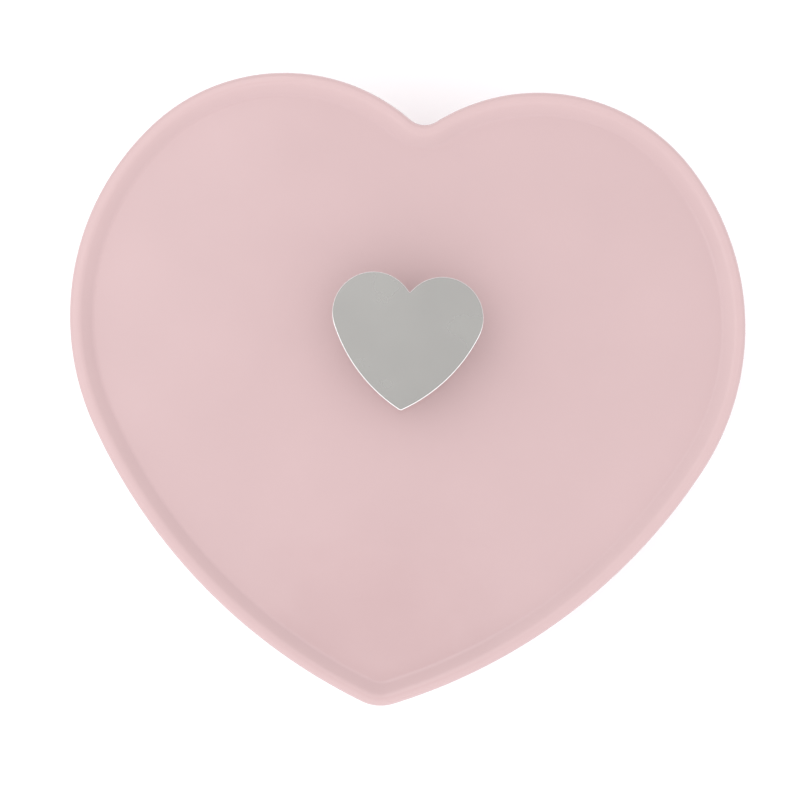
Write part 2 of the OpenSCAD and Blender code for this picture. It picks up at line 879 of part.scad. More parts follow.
module winding_key() {
  hub = arbor_r + 1.5;
  lobe = key_h / 2;
  rim = 1.8;
  color("#c9c6bd") translate([wind_x, wind_y, 0]) difference() {
    union() {
      rod(hub, key_z0, key_hub_top);
      translate([0, key_t / 2, 0]) rotate([90, 0, 0]) linear_extrude(key_t) {
        box_2d(-key_w / 2 + lobe, key_z0, key_w / 2 - lobe, key_z0 + key_h);
        for (s = [-1, 1]) {
          translate([s * (key_w / 2 - lobe), key_z0 + lobe]) circle(lobe);
        }
      }
    }
    rod(arbor_r + fit, arbor_z0, key_hub_top + cut);
    for (s = [-1, 1]) {
      translate([s * (key_w / 2 - lobe), key_t, key_z0 + lobe])
        rotate([90, 0, 0])
          cylinder(h = 2 * key_t, r = lobe - rim);
    }
  }
}

module crown_gear() {
  color("#c8a951") at_movement() difference() {
    union() {
      rod(crown_r + crown_face / 2, crown_z, crown_z + crown_t);
      rod(arbor_r + 2, crown_z, crown_z + crown_t + crown_hub_t);
      for (i = [0:crown_n - 1]) {
        rotate(i * 360 / crown_n)
          translate([crown_r - crown_face / 2, 0, crown_z + crown_t + tooth_ded])
            rotate([90, 0, 90])
              linear_extrude(crown_face - 0.1) rack_tooth_2d(tooth_ded + tooth_root);
      }
    }
    rod(arbor_r + fit, crown_z - cut, crown_z + crown_t + crown_hub_t + cut);
    for (a = [45:90:315]) {
      rotate(a) translate([0.56 * crown_r, 0, 0]) rod(0.17 * crown_r, crown_z - cut, crown_z + crown_t + cut);
    }
  }
}

// Drum with its rows of pins, spread evenly over a grid of beats.
module cylinder_drum() {
  beats = 48;
  color("#cfae58") at_drum() difference() {
    union() {
      rod_x(drum_r, drum_x0, drum_x1);
      for (i = [0:notes - 1]) {
        for (j = [0:pins_per_note - 1]) {
          beat = (i * 7 + j * 13 + i * j * 5) % beats;
          translate([comb_x + (i - (notes - 1) / 2) * note_pitch, 0, 0])
            rotate([beat * 360 / beats, 0, 0])
              rod(pin_r, drum_r - lap, drum_r + pin_h);
        }
      }
    }
    rod_x(shaft_r + fit, drum_x0 - cut, drum_x1 + cut);
  }
}

module cylinder_arbor() {
  color("#b8b8b4") at_drum() rod_x(shaft_r, inner_x - lap, -crown_r + crown_face / 2);
}

module cylinder_pinion() {
  color("#c8a951") at_drum() difference() {
    slab_x(-crown_r - pinion_t / 2, pinion_t) rotate(90) gear_2d(drum_n);
    rod_x(shaft_r + fit, -crown_r - pinion_t, -crown_r + pinion_t);
  }
}

module great_wheel() {
  color("#c8a951") at_drum() difference() {
    union() {
      slab_x(great_x, great_t) rotate(gov_ang) gear_2d(great_n);
      rod_x(2.4, great_x, drum_x0 - slit);
    }
    rod_x(shaft_r + fit, great_x - cut, drum_x0 + cut);
    for (a = [0:72:288]) {
      rotate([a, 0, 0]) translate([0, 0.6 * great_pr, 0]) rod_x(0.17 * great_pr, great_x - cut, drum_x0);
    }
  }
}

module governor_arbor() {
  color("#b8b8b4") at_governor() rod_x(gov_shaft_r, outer_x - air, drum_x0 - air);
}

module governor_pinion() {
  color("#b8b8b4") at_governor() difference() {
    slab_x(great_x - air, great_t + air) rotate(gov_ang + 180 + 180 / gov_n) gear_2d(gov_n);
    rod_x(gov_shaft_r + fit, great_x - cut, drum_x0);
  }
}

module worm_wheel() {
  color("#e6e0d2") at_governor() difference() {
    union() {
      slab_x(wheel_x, wheel_t) gear_2d(wheel_n);
      rod_x(gov_shaft_r + 1, wheel_x - 2 * air, wheel_x + wheel_t + 2 * air);
    }
    rod_x(gov_shaft_r + fit, wheel_x - cut, wheel_x + wheel_t + cut);
  }
}

module fan_worm() {
  core = worm_pr - tooth_ded;
  color("#b8b8b4") at_fan() {
    rod(fan_shaft_r, bed_t + air, brake_z + brake_h);
    rod(core, gov_z - worm_half, gov_z + worm_half);
    translate([0, 0, gov_z - worm_turns / 2 * tooth_p])
      rotate(90)
        coil(worm_pr, tooth_p, worm_turns)
          rotate(-90)
            rack_tooth_2d(tooth_ded + worm_root);
  }
}

module air_brake() {
  vane = [2 * brake_r - 0.6, 0.6, brake_h + disc_t / 2];
  color("#ece7db") at_fan() difference() {
    union() {
      rod(2 * fan_shaft_r, brake_z, brake_z + vane.z);
      translate([-vane.x / 2, -vane.y / 2, brake_z]) cube(vane);
      rod(brake_r - 0.4, brake_z + brake_h, disc_top);
    }
    rod(fan_shaft_r + fit, brake_z - cut, brake_z + brake_h);
  }
}

module stop_plunger() {
  color("#b8b8b4") at_fan() {
    rod(plunger_r, plunger_foot - pad_seat, plunger_top - plunger_cap / 2);
    rod(plunger_r + 1.6, plunger_top - plunger_cap, plunger_top);
  }
}

module brake_pad() {
  color("#7c2f38") at_fan() difference() {
    rod(pad_foot_r, plunger_foot - pad_foot_t, plunger_foot);
    rod(plunger_r + fit, plunger_foot - pad_seat, plunger_foot + cut);
  }
}

module stop_spring() {
  room = plunger_top - plunger_cap - cover_top;
  pitch = (room - 2 * spring_wire - 2 * slit) / spring_turns;
  color("#c4c6c8") at_fan()
    translate([0, 0, cover_top + spring_wire + slit])
      coil(spring_r, pitch, spring_turns)
        circle(spring_wire, $fn = 8);
}

lid_shell();
knob_heart();
knob_stem();
knob_washer();
knob_screw();
box_body();
rubber_feet();
tray_pad();
movement_cover();
cover_screws();
movement_screws();
bedplate();
comb();
comb_weights();
comb_screws();
spring_housing();
mainspring();
governor_frame();
governor_screws();
winding_arbor();
winding_key();
crown_gear();
cylinder_drum();
cylinder_arbor();
cylinder_pinion();
great_wheel();
governor_arbor();
governor_pinion();
worm_wheel();
fan_worm();
air_brake();
stop_plunger();
brake_pad();
stop_spring();
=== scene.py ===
"""Dresses a heart-shaped wind-up music box: glazed box and lid, metal heart knob, velvet tray pad,
clear cover, pinned-drum movement, winding key and a plain pale studio. Lengths are in metres."""

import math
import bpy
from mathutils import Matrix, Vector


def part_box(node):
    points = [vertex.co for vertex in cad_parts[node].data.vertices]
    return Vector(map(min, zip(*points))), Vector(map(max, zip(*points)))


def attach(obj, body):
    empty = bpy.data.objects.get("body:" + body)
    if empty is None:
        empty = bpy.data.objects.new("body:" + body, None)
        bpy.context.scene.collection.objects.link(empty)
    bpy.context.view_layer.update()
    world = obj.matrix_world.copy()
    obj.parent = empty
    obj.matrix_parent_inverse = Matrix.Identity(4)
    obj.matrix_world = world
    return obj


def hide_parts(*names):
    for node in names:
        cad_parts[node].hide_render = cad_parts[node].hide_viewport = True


bl_info = {
    "name": "Heart Music Box",
    "version": (1, 0, 0),
    "blender": (4, 5, 0),
    "location": "View3D > Sidebar > Music Box",
    "description": "Makes the glazed heart box, its knob, tray, movement finishes and studio",
    "category": "Object",
}

import bpy
import numpy as np
from bpy.props import FloatProperty, FloatVectorProperty, IntProperty, PointerProperty

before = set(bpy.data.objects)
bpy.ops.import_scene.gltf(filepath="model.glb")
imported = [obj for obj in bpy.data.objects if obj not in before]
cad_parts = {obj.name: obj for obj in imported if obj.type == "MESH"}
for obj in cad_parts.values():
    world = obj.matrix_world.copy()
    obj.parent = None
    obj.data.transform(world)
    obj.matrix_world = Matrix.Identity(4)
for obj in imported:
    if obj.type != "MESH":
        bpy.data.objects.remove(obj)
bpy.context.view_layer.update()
MM = 0.001


# ---------- sizes and colours that a user would change ----------


def length(label, text, millimetres):
    return FloatProperty(
        name=label, description=text, default=millimetres * MM, unit="LENGTH", precision=5
    )


def colour(label, text, value):
    return FloatVectorProperty(
        name=label, description=text, default=value, subtype="COLOR", size=3, min=0, max=1
    )


class MusicBoxSizes(bpy.types.PropertyGroup):
    width: length("Lid width", "Across the lobes", 150)
    depth: length("Lid length", "From the tip to the tops of the lobes", 138.5)
    lobe: length("Lobe radius", "Outline radius over each lobe", 42.7)
    shoulder: length("Shoulder radius", "Outline radius at each shoulder", 58.3)
    lobe_turn: FloatProperty(
        name="Lobe turn",
        description="Direction where a lobe meets its shoulder",
        default=math.radians(41.7),
        unit="ROTATION",
    )
    flank_turn: FloatProperty(
        name="Flank turn",
        description="Direction below level where a shoulder meets its flank",
        default=math.radians(28.8),
        unit="ROTATION",
    )
    tip: length("Tip radius", "Outline radius at the tip", 9.3)
    cleft: length("Cleft radius", "Fillet between the lobes", 5)
    rim: length("Rim width", "From the lid's edge to its flat panel", 5.6)
    rise: length("Rim rise", "Height of the rim's crest above the panel", 1.7)
    panel: length("Panel thickness", "Thickness of the lid's flat panel", 4)
    rib_depth: length("Rib depth", "Drop of the locating rib inside the wall", 4)
    rib_width: length("Rib width", "Thickness of the locating rib", 2.1)
    rib_gap: length("Rib gap", "Clearance between the rib and the wall", 0.5)
    overhang: length("Overhang", "Reach of the lid beyond the box wall", 2)
    wall: length("Wall", "Thickness of the box wall", 4)
    floor: length("Floor", "Thickness of the box's floor", 4)
    knob_width: length("Knob width", "Across the knob's lobes", 32.8)
    knob_depth: length("Knob length", "From the knob's tip to its lobes", 29.5)
    knob_lobe: length("Knob lobe radius", "Outline radius of the knob's lobes", 8.9)
    knob_bevel: length("Lobe bevel", "Width of the bright bevel round the knob's lobes", 0.07)
    flank_bevel: length("Flank bevel", "Width of that bevel along the knob's flanks", 0.15)
    foot: length("Foot radius", "Radius of each rubber foot", 4)
    foot_inset: length("Foot inset", "From the lid's outline to a foot's middle", 10)
    key_height: length("Key height", "Height of the winding key's wings", 8)
    key_thickness: length("Key thickness", "Thickness of the winding key's wings", 2.2)
    stations: IntProperty(
        name="Stations",
        description="Points round the heart outline",
        default=480,
        min=160,
        max=720,
    )


class MusicBoxColours(bpy.types.PropertyGroup):
    glaze: colour("Glaze", "Pink glaze where it lies thick", (0.525, 0.367, 0.366))
    # Paler glaze on crests and lips: partly thinner glaze, partly a painted highlight.
    glaze_thin: colour("Thin glaze", "Paler glaze where it thins over an edge", (0.572, 0.404, 0.399))
    # The knob tint is darkened as a painted darker reflection on the knob's face.
    knob: colour("Knob metal", "Satin metal of the knob", (0.352, 0.342, 0.324))
    brass: colour("Brass", "Wheels, drum and housing", (0.78, 0.57, 0.26))
    steel: colour("Steel", "Comb, arbors and screws", (0.56, 0.57, 0.58))
    velvet: colour("Velvet", "Pile of the tray pad", (0.73, 0.645, 0.58))
    floor: colour("Floor", "Pale studio floor", (0.97, 0.97, 0.97))


# ---------- surfaces ----------


def heart_arcs(width, depth, lobe, shoulder, lobe_turn, flank_turn, tip, cleft):
    """The eight arcs of a heart outline, anticlockwise from the tip: rows of centre x and y, radius,
    start and end direction, and +1 for a bulge or -1 for the cleft. Neighbouring arcs share a tangent,
    so their centres lie as far apart as their radii differ, or as the radii's sum at the cleft. That
    fixes each flank's radius and the height of the cleft's centre."""

    def way(turn):
        return np.array([math.cos(turn), math.sin(turn)])

    less = shoulder - lobe
    lobe_at = np.array([width / 2 - shoulder + less * math.cos(lobe_turn), depth / 2 - lobe])
    shoulder_at = lobe_at - less * way(lobe_turn)
    tip_at = np.array([0, tip - depth / 2])
    apart, more = shoulder_at - tip_at, shoulder - tip
    extra = (apart @ apart - more * more) / (2 * (apart @ way(-flank_turn) + more))
    flank_at = shoulder_at - extra * way(-flank_turn)
    cleft_at = np.array([0, lobe_at[1] + math.sqrt((lobe + cleft) ** 2 - lobe_at[0] ** 2)])
    tip_turn = math.atan2(tip_at[1] - flank_at[1], tip_at[0] - flank_at[0])
    cleft_turn = math.atan2(cleft_at[1] - lobe_at[1], cleft_at[0] - lobe_at[0])
    side = np.array(
        [
            [*flank_at, shoulder + extra, tip_turn, -flank_turn, 1],
            [*shoulder_at, shoulder, -flank_turn, lobe_turn, 1],
            [*lobe_at, lobe, lobe_turn, cleft_turn, 1],
        ]
    )
    other = side[::-1] * [-1, 1, 1, 1, 1, 1]
    other[:, 3:5] = math.pi - other[:, [4, 3]]
    return np.vstack(
        [
            [[*tip_at, tip, -math.pi - tip_turn, tip_turn, 1]],
            side,
            [[*cleft_at, cleft, cleft_turn - math.pi, -cleft_turn, -1]],
            other,
        ]
    )


def stations_round(arcs, count):
    """Stations spread along each arc by its length, never fewer than 14 on one: for each, the arc's
    centre, the unit direction from it, its radius and its bulge."""
    lengths = np.abs(arcs[:, 4] - arcs[:, 3]) * arcs[:, 2]
    shares = np.maximum(14, np.round(count * lengths / lengths.sum())).astype(int)
    row = np.repeat(np.arange(len(arcs)), shares)
    first = np.repeat(np.cumsum(shares) - shares, shares)
    step = (np.arange(len(row)) - first) / shares[row]
    turn = arcs[row, 3] + (arcs[row, 4] - arcs[row, 3]) * step
    way = np.stack([np.cos(turn), np.sin(turn)], axis=1)
    return arcs[row, :2], way, arcs[row, 2], arcs[row, 5]


def carried(stations, profile, widen=1.0):
    """A profile of inset and height carried round an outline: each point is the arc's centre plus its
    direction times the radius less the inset, or plus the inset in the cleft. Each station's insets
    are first multiplied by its own value in widen."""
    centre, way, radius, bulge = stations
    inset = profile[:, 0][:, None] * widen
    reach = np.maximum(radius[None] - bulge[None] * inset, 2e-5)
    xy = centre[None] + reach[..., None] * way[None]
    z = np.broadcast_to(profile[:, 1][:, None, None], (*reach.shape, 1))
    return np.concatenate([xy, z], axis=2)


def drawn_in(ring, centre, radius, shares):
    """Rings that draw a closed ring in towards a circle: each point moves by its share along the line
    from the ring to the circle's point in the same direction from the centre."""
    spoke = ring[:, :2] - centre
    spoke = spoke / np.linalg.norm(spoke, axis=1)[:, None]
    circle = np.array(centre) + radius * spoke
    share = np.asarray(shares)[:, None, None]
    xy = ring[None, :, :2] * (1 - share) + circle[None] * share
    z = np.broadcast_to(ring[None, :, 2:], (len(shares), len(ring), 1))
    return np.concatenate([xy, z], axis=2)


def rounded(corners, steps=6):
    """A polyline whose corners (x, y, radius) become arcs: each arc starts and ends radius times
    tan(half the turn) from its corner, though never past 0.49 of either side."""
    points = np.array(corners, float)
    line = [points[0, :2]]
    for before, here, after in zip(points[:-2], points[1:-1], points[2:]):
        corner, wanted = here[:2], here[2]
        back, on = before[:2] - corner, after[:2] - corner
        back_length, on_length = np.linalg.norm(back), np.linalg.norm(on)
        back, on = back / back_length, on / on_length
        half = math.acos(max(-1, min(1, float(back @ on)))) / 2
        if wanted <= 0 or abs(half - math.pi / 2) < 1e-3:
            line.append(corner)
            continue
        cut = min(wanted / math.tan(half), 0.49 * back_length, 0.49 * on_length)
        radius = cut * math.tan(half)
        inward = (back + on) / np.linalg.norm(back + on)
        centre = corner + inward * radius / math.sin(half)
        start, end = corner + back * cut - centre, corner + on * cut - centre
        share = np.linspace(0, 1, steps + 1)[:, None]
        chord = start * (1 - share) + end * share
        line.extend(centre + chord / np.linalg.norm(chord, axis=1)[:, None] * radius)
    line.append(points[-1, :2])
    return np.array(line)


def lathe(profile, sides):
    """A profile of radius and height turned about the upright axis."""
    turn = np.linspace(0, 2 * math.pi, sides, endpoint=False)
    x = profile[:, :1] * np.cos(turn)[None]
    y = profile[:, :1] * np.sin(turn)[None]
    z = np.broadcast_to(profile[:, 1:], x.shape)
    return np.stack([x, y, z], axis=2)


def grid_faces(rows, cols, loop=False):
    """Quads of a grid whose columns close on themselves. Its rows close too, or each end gets a fan to
    an extra point after the grid's own."""
    row = np.arange(rows if loop else rows - 1)[:, None]
    here = np.arange(cols)
    there = (here + 1) % cols
    low, high = row * cols, (row + 1) % rows * cols
    quads = np.stack([low + here, low + there, high + there, high + here], axis=2).reshape(-1, 4)
    if loop:
        return quads, []
    last, middle = (rows - 1) * cols, rows * cols
    return quads, [
        np.stack([np.full(cols, middle), there, here], axis=1),
        np.stack([np.full(cols, middle + 1), last + here, last + there], axis=1),
    ]


def make_piece(name, parts, material, body, **values):
    """One smooth mesh object from a list of (points, quads, fans), with its own material and point
    values. It rides on the body, unless there is none."""
    points = np.concatenate([p for p, _, _ in parts]).astype(np.float32)
    first = np.cumsum([0] + [len(p) for p, _, _ in parts[:-1]])
    quads = np.concatenate([q + n for (_, q, _), n in zip(parts, first)])
    tris = [fan + n for (_, _, fans), n in zip(parts, first) for fan in fans]
    tris = np.concatenate(tris) if tris else np.zeros((0, 3), int)
    mesh = bpy.data.meshes.new(name)
    mesh.vertices.add(len(points))
    mesh.vertices.foreach_set("co", points.ravel())
    corners = np.concatenate([quads.ravel(), tris.ravel()]).astype(np.int32)
    sides = np.concatenate([np.full(len(quads), 4), np.full(len(tris), 3)]).astype(np.int32)
    mesh.loops.add(len(corners))
    mesh.loops.foreach_set("vertex_index", corners)
    mesh.polygons.add(len(sides))
    mesh.polygons.foreach_set("loop_start", np.cumsum(sides) - sides)
    mesh.update(calc_edges=True)
    mesh.validate()
    mesh.polygons.foreach_set("use_smooth", np.ones(len(sides), bool))
    for key, numbers in values.items():
        layer = mesh.attributes.new(key, "FLOAT", "POINT")
        layer.data.foreach_set("value", numbers.astype(np.float32))
    mesh.materials.append(material)
    piece = bpy.data.objects.new(name, mesh)
    bpy.context.scene.collection.objects.link(piece)
    if body:
        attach(piece, body)
    return piece


def shell(rings, flip=False):
    """A closed loop of closed rings as points, quads and no fans."""
    quads, fans = grid_faces(*rings.shape[:2], loop=True)
    return rings.reshape(-1, 3), quads[:, ::-1] if flip else quads, fans


def capped(rings, flip=False):
    """A stack of closed rings, each end closed by a fan to its middle."""
    quads, fans = grid_faces(*rings.shape[:2])
    points = np.concatenate([rings.reshape(-1, 3), rings[[0, -1]].mean(axis=1)])
    if flip:
        quads, fans = quads[:, ::-1], [f[:, ::-1] for f in fans]
    return points, quads, fans


# ---------- finishes ----------


class Finish:
    """A material under construction: its nodes, and short ways to add patterns in object space."""

    def __init__(self, name):
        self.material = bpy.data.materials.new(name)
        self.material.use_nodes = True
        self.tree = self.material.node_tree
        self.tree.nodes.clear()
        self.out = self.node("ShaderNodeOutputMaterial")
        self.shader = self.node("ShaderNodeBsdfPrincipled")
        self.link(self.shader.outputs["BSDF"], self.out.inputs["Surface"])
        self.where = self.node("ShaderNodeTexCoord").outputs["Object"]

    def node(self, kind, **settings):
        """A new node with these settings."""
        made = self.tree.nodes.new(kind)
        for key, value in settings.items():
            setattr(made, key, value)
        return made

    def link(self, source, target):
        """Joins an output to an input."""
        self.tree.links.new(source, target)

    def set(self, **values):
        """Sets the shader's own sockets."""
        for key, value in values.items():
            self.shader.inputs[key.replace("_", " ")].default_value = value
        return self

    def stretched(self, scale, turn=(0, 0, 0)):
        """Object space turned, and squeezed along each axis."""
        m = self.node("ShaderNodeMapping")
        m.inputs["Scale"].default_value = scale
        m.inputs["Rotation"].default_value = turn
        self.link(self.where, m.inputs["Vector"])
        return m.outputs["Vector"]

    def noise(self, size, detail=3.0, where=None, roughness=0.5):
        """Soft noise whose blobs are about size metres across."""
        n = self.node("ShaderNodeTexNoise")
        n.inputs["Scale"].default_value = 1 / size
        n.inputs["Detail"].default_value = detail
        n.inputs["Roughness"].default_value = roughness
        self.link(where or self.where, n.inputs["Vector"])
        return n.outputs["Fac"]

    def cells(self, size, out="Distance"):
        """Scattered cells about size metres apart: the distance to each middle, or its colour."""
        v = self.node("ShaderNodeTexVoronoi")
        v.inputs["Scale"].default_value = 1 / size
        self.link(self.where, v.inputs["Vector"])
        return v.outputs[out]

    def spread(self, value, low, high, to_low=0.0, to_high=1.0):
        """Stretches the range from low to high over the range from to_low to to_high."""
        m = self.node("ShaderNodeMapRange", clamp=True)
        for key, number in zip(
            ("From Min", "From Max", "To Min", "To Max"), (low, high, to_low, to_high)
        ):
            m.inputs[key].default_value = number
        self.link(value, m.inputs["Value"])
        return m.outputs["Result"]

    def maths(self, how, a, b):
        """Arithmetic on two outputs or numbers."""
        m = self.node("ShaderNodeMath", operation=how)
        for socket, value in zip(m.inputs, (a, b)):
            if isinstance(value, (int, float)):
                socket.default_value = value
            else:
                self.link(value, socket)
        return m.outputs[0]

    def mixed(self, share, first, second):
        """The first colour, or the second where the share is 1."""
        m = self.node("ShaderNodeMix", data_type="RGBA")
        for key, value in (("Factor", share), ("A", first), ("B", second)):
            socket = next(s for s in m.inputs if s.name == key and s.enabled)
            if isinstance(value, bpy.types.NodeSocket):
                self.link(value, socket)
            else:
                socket.default_value = (*tuple(value)[:3], 1)
        return next(s for s in m.outputs if s.enabled)

    def paint(self, value):
        """Sets the colour."""
        self.link(value, self.shader.inputs["Base Color"])
        return self

    def gloss(self, value, low, high):
        """Sets the roughness to vary between low and high with a noise."""
        self.link(self.spread(value, 0.3, 0.7, low, high), self.shader.inputs["Roughness"])
        return self

    def relief(self, *layers):
        """Bumps stacked one on another, each a (height, depth in metres) pair."""
        below = None
        for height, depth in layers:
            b = self.node("ShaderNodeBump")
            b.inputs["Strength"].default_value = 1.0
            b.inputs["Distance"].default_value = depth
            self.link(height, b.inputs["Height"])
            if below is not None:
                self.link(below, b.inputs["Normal"])
            below = b.outputs["Normal"]
        self.link(below, self.shader.inputs["Normal"])
        return self


def shade(value, by):
    """A colour made lighter or darker by a factor."""
    return tuple(min(1.0, c * by) for c in tuple(value)[:3])


def glaze_finish(name, tints):
    """Satin pink glaze: cloudy depth, paler on edges as thinner glaze and as a painted highlight, rare
    specks and pinholes.
    """
    f = Finish(name)
    cloud = f.spread(f.noise(0.03, 4), 0.3, 0.7)
    base = f.mixed(cloud, shade(tints.glaze, 0.985), shade(tints.glaze, 1.02))
    # Paler colour along crests and lips from a point value: partly thinner glaze, partly a painted
    # highlight, made ragged by a noise.
    thin = f.node("ShaderNodeAttribute", attribute_name="glaze_thin").outputs["Fac"]
    ragged = f.maths("MULTIPLY", thin, f.spread(f.noise(0.004, 3), 0.2, 0.8, 0.75, 1.0))
    base = f.mixed(ragged, base, tints.glaze_thin)
    rare = f.spread(f.cells(0.0085, out="Color"), 0.93, 0.94)
    dot = f.spread(f.cells(0.0085), 0.018, 0.03, 1.0, 0.0)
    speck = f.maths("MULTIPLY", rare, dot)
    base = f.mixed(f.maths("MULTIPLY", speck, 0.55), base, (0.3, 0.2, 0.19))
    f.paint(base)
    f.set(Specular_IOR_Level=0.5, IOR=1.5)
    f.gloss(f.noise(0.012, 4), 0.1, 0.15)
    f.relief((f.noise(0.018, 2), 0.00012), (f.noise(0.0016, 2), 0.000008), (speck, -0.00004))
    return f.material


def metal_finish(name, tint, rough=(0.25, 0.36), grain=(1, 1, 1), size=0.0006, depth=0.000004):
    """Worked metal: colour clouds, grain stretched the way it was cut or brushed, and dull patches."""
    f = Finish(name)
    lines = f.noise(size, 3, f.stretched(grain))
    f.paint(f.mixed(f.spread(lines, 0.3, 0.7), shade(tint, 0.93), shade(tint, 1.04)))
    f.set(Metallic=1.0, Specular_IOR_Level=0.5)
    f.gloss(f.noise(0.006, 5), *rough)
    f.relief((lines, depth))
    return f.material


def knob_finish(tints):
    """Metal with very fine straight grain and a few hairline scuffs on its rougher face. The face takes
    the dark knob tint, a painted darker reflection; the bevel, sides and underside, where the piece's
    point value is 0, take near-white metal, a painted highlight that also bounces more light into the
    knob's shadow."""
    f = Finish("knob_metal")
    grain = f.noise(0.0002, 2, f.stretched((0.06, 1, 1), (0, 0, 0.4)))
    cloud = f.noise(0.02, 3)
    tone = f.mixed(f.spread(cloud, 0.3, 0.7), shade(tints.knob, 0.97), shade(tints.knob, 1.02))
    scuff = f.spread(f.noise(0.0016, 1, f.stretched((0.03, 1, 1), (0, 0, 1.1))), 0.7, 0.74)
    satin = f.node("ShaderNodeAttribute", attribute_name="satin").outputs["Fac"]
    face = f.mixed(f.maths("MULTIPLY", scuff, 0.1), tone, (0.85, 0.85, 0.84))
    # Painted highlight: near-white metal on the bevel, sides and underside; the face keeps the dark
    # painted-reflection tint.
    f.paint(f.mixed(satin, (0.9, 0.9, 0.89), face))
    f.set(Metallic=1.0)
    rough = f.maths("MULTIPLY", satin, f.spread(f.noise(0.01, 5), 0.3, 0.7, 0.02, 0.09))
    f.link(f.maths("ADD", rough, 0.2), f.shader.inputs["Roughness"])
    f.relief((grain, 0.0000012), (f.noise(0.012, 2), 0.000012))
    return f.material


def drum_finish(tints):
    """Brass drum, turned in fine rings, with steel pins where the surface stands past the drum."""
    f = Finish("drum_brass")
    skin, pin_side = 6.53 * MM, 6.6 * MM
    low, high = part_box("cylinder_drum")
    axis = f.node("ShaderNodeVectorMath", operation="SUBTRACT")
    f.link(f.where, axis.inputs[0])
    axis.inputs[1].default_value = (0, (low.y + high.y) / 2, (low.z + high.z) / 2)
    flat = f.node("ShaderNodeVectorMath", operation="MULTIPLY")
    f.link(axis.outputs[0], flat.inputs[0])
    flat.inputs[1].default_value = (0, 1, 1)
    reach = f.node("ShaderNodeVectorMath", operation="LENGTH")
    f.link(flat.outputs[0], reach.inputs[0])
    pin = f.spread(reach.outputs["Value"], skin, pin_side)
    rings = f.noise(0.00025, 2, f.stretched((1, 0.02, 0.02)))
    brass = f.mixed(f.spread(rings, 0.3, 0.7), shade(tints.brass, 0.9), shade(tints.brass, 1.05))
    f.paint(f.mixed(pin, brass, tints.steel))
    f.set(Metallic=1.0)
    f.gloss(f.noise(0.004, 4), 0.2, 0.34)
    f.relief((rings, 0.000004))
    return f.material


def plastic_finish(name, tint, rough=(0.35, 0.5), depth=0.000012):
    """Moulded plastic or rubber with a fine even texture and slight cloudiness."""
    f = Finish(name)
    f.paint(f.mixed(f.spread(f.noise(0.006, 4), 0.3, 0.7), shade(tint, 0.94), shade(tint, 1.04)))
    f.gloss(f.noise(0.003, 4), *rough)
    f.relief((f.noise(0.0004, 3), depth))
    return f.material


def pile_finish(name, tint, size=0.0007):
    """Short velvet or felt pile: brushed light and dark, with fibre bumps and a soft sheen."""
    f = Finish(name)
    brushed = f.spread(f.noise(0.012, 4), 0.35, 0.65)
    fibre = f.noise(size, 4, roughness=0.7)
    tone = f.mixed(brushed, shade(tint, 0.86), shade(tint, 1.08))
    f.paint(f.mixed(f.spread(fibre, 0.3, 0.7), shade(tint, 0.72), tone))
    f.set(Roughness=0.95, Specular_IOR_Level=0.2, Sheen_Weight=0.6, Sheen_Roughness=0.4)
    f.relief((fibre, 0.00012), (f.noise(0.006, 3), 0.0003))
    return f.material


def clear_finish():
    """Clear moulded plastic with the faintest haze and flow lines."""
    f = Finish("clear_plastic")
    f.paint(f.mixed(f.spread(f.noise(0.02, 2), 0.3, 0.7), (0.86, 0.92, 0.93), (0.92, 0.96, 0.97)))
    f.set(Alpha=0.14, IOR=1.5)
    f.gloss(f.noise(0.01, 3), 0.04, 0.1)
    f.relief((f.noise(0.02, 2), 0.00002))
    return f.material


def dress(material, *nodes):
    """Gives CAD nodes a finish."""
    for name in nodes:
        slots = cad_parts[name].data.materials
        slots.clear()
        slots.append(material)


# ---------- pieces ----------


def sizes():
    """The scene's own sizes."""
    return bpy.context.scene.music_box_sizes


def colours():
    """The scene's own colours."""
    return bpy.context.scene.music_box_colours


def middle_of(node):
    """The middle of a CAD node's box, seen from above."""
    low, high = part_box(node)
    return np.array([(low.x + high.x) / 2, (low.y + high.y) / 2])


def heart_of(s):
    """The arcs of the lid's outline."""
    return heart_arcs(s.width, s.depth, s.lobe, s.shoulder, s.lobe_turn, s.flank_turn, s.tip, s.cleft)


def foot_centres(s):
    """Middles of the five feet: the tip arc's centre, and four points at set directions from the
    shoulder and lobe arcs' centres, each a foot's inset short of its arc."""
    arcs = heart_of(s)
    rows, turns = [2, 3, 5, 6], np.radians([-12, 75, 105, 192])
    way = np.stack([np.cos(turns), np.sin(turns)], axis=1)
    return np.vstack([arcs[0, :2], arcs[rows, :2] + (arcs[rows, 2:3] - s.foot_inset) * way])


def lip_paleness(rings, *lips):
    """How pale the glaze is painted at each point, for thinner glaze and a painted highlight along a
    lip: one less its height's distance from the nearest lip over 1.2 mm, squared, and nothing past
    that."""
    z = rings[..., 2].ravel()
    gap = np.min([np.abs(z - lip) for lip in lips], axis=0)
    return np.clip(1 - gap / (1.2 * MM), 0, 1) ** 2


